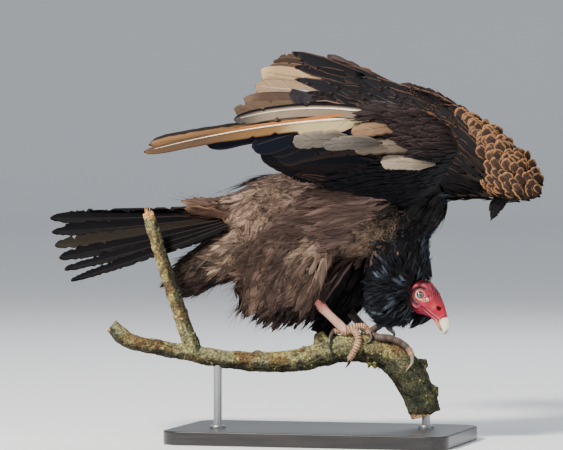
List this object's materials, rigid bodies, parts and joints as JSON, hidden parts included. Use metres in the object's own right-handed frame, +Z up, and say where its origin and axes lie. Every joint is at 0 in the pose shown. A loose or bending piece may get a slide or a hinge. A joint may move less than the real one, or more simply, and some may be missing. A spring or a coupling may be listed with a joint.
{
  "type": "turkey vulture perched on a branch",
  "caption": "Life-size still turkey vulture leaning forward on a cut branch with both wings raised over its back, held by a plain flat display stand.",
  "frame": {"origin": "centre of the whole object's box at floor level, under the display stand", "axes": "+X the way the bird heads, +Y its left side, +Z up"},
  "size_m": [0.7136, 0.4686, 0.5609],
  "materials": {
    "body_feathers": "matt warm brown vanes with soft lighter edges",
    "ruff_feathers": "blue-black, with a soft sheen",
    "wing_coverts": "matt dark brown with tan edges",
    "flight_feathers": "satin brown-grey vanes with pale shafts",
    "tail_feathers": "satin black-brown",
    "head_skin": "bare crimson skin, finely wrinkled",
    "bill_horn": "smooth ivory horn",
    "eye": "wet dark eye",
    "leg_skin": "pale scaled skin",
    "claw_horn": "dark horn",
    "bark": "rough bark with grey-green lichen",
    "stand_lacquer": "satin black lacquer",
    "stand_steel": "brushed"
  },
  "bodies": {
    "root": {"perch_branch": "bark", "perch_stub": "bark", "trunk": "body_feathers", "head": "head_skin", "right_eye": "eye", "left_eye": "eye", "upper_bill": "bill_horn", "lower_bill": "bill_horn", "neck": "ruff_feathers", "tail_coverts_upper": "body_feathers", "tail_coverts_lower": "body_feathers", "tail": "tail_feathers", "right_thigh": "body_feathers", "right_shank": "leg_skin", "right_foot": "leg_skin", "right_claw_1": "claw_horn", "right_claw_2": "claw_horn", "right_claw_3": "claw_horn", "right_claw_4": "claw_horn", "left_thigh": "body_feathers", "left_shank": "leg_skin", "left_foot": "leg_skin", "left_claw_1": "claw_horn", "left_claw_2": "claw_horn", "left_claw_3": "claw_horn", "left_claw_4": "claw_horn", "right_upper_arm": "wing_coverts", "right_forearm": "wing_coverts", "right_hand": "wing_coverts", "right_primaries": "flight_feathers", "right_secondaries": "flight_feathers", "left_upper_arm": "wing_coverts", "left_forearm": "wing_coverts", "left_hand": "wing_coverts", "left_primaries": "flight_feathers", "left_secondaries": "flight_feathers", "left_alula": "wing_coverts", "stand_base": "stand_lacquer", "stand_rod_1": "stand_steel", "stand_rod_2": "stand_steel"}
  },
  "joints": []
}
